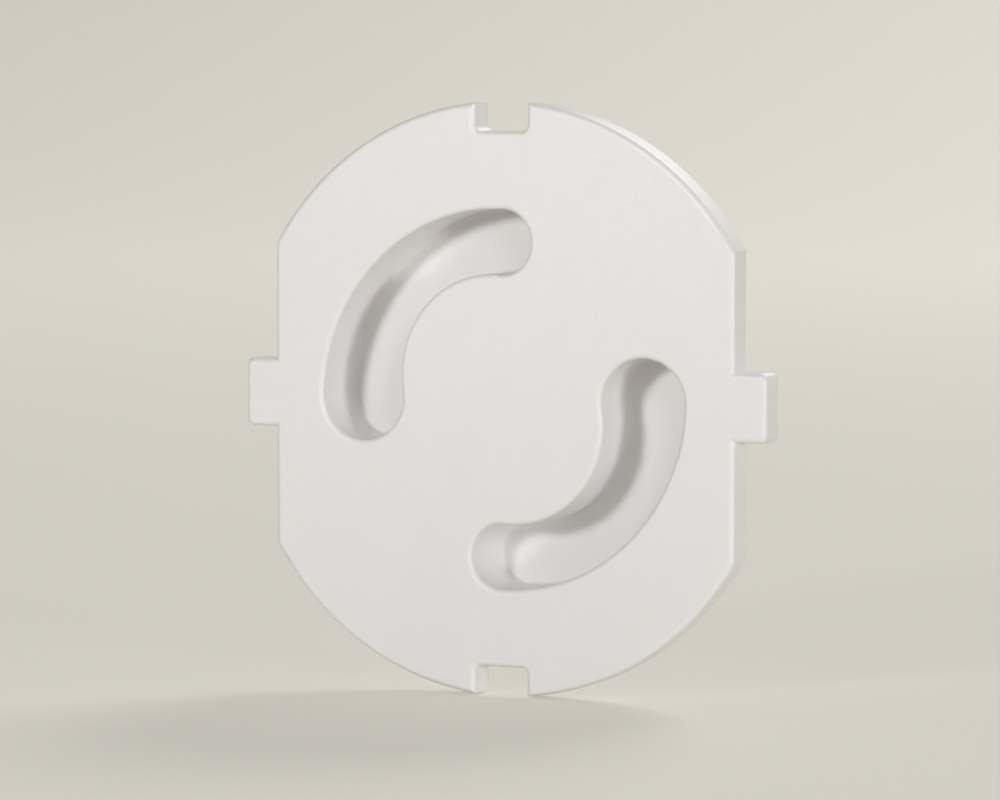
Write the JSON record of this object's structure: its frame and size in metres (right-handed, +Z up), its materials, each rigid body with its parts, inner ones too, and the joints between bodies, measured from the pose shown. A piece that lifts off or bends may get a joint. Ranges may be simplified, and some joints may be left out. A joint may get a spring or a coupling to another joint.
{
  "type": "outlet safety cover",
  "caption": "White moulded disc that closes the recess of a wall outlet, with comma-shaped pin pockets so that a turned plug can draw it out.",
  "frame": {"origin": "centre of the plate's flat rear face, on the disc's axis", "axes": "+Y into the wall, away from the face; +X to the right hand as the face is seen, along the side tabs; +Z up, through the notches"},
  "size_m": [0.037, 0.0058, 0.0378],
  "materials": {
    "white_plastic": "satin moulded white plastic"
  },
  "bodies": {
    "root": {"cover": "white_plastic"}
  },
  "joints": []
}
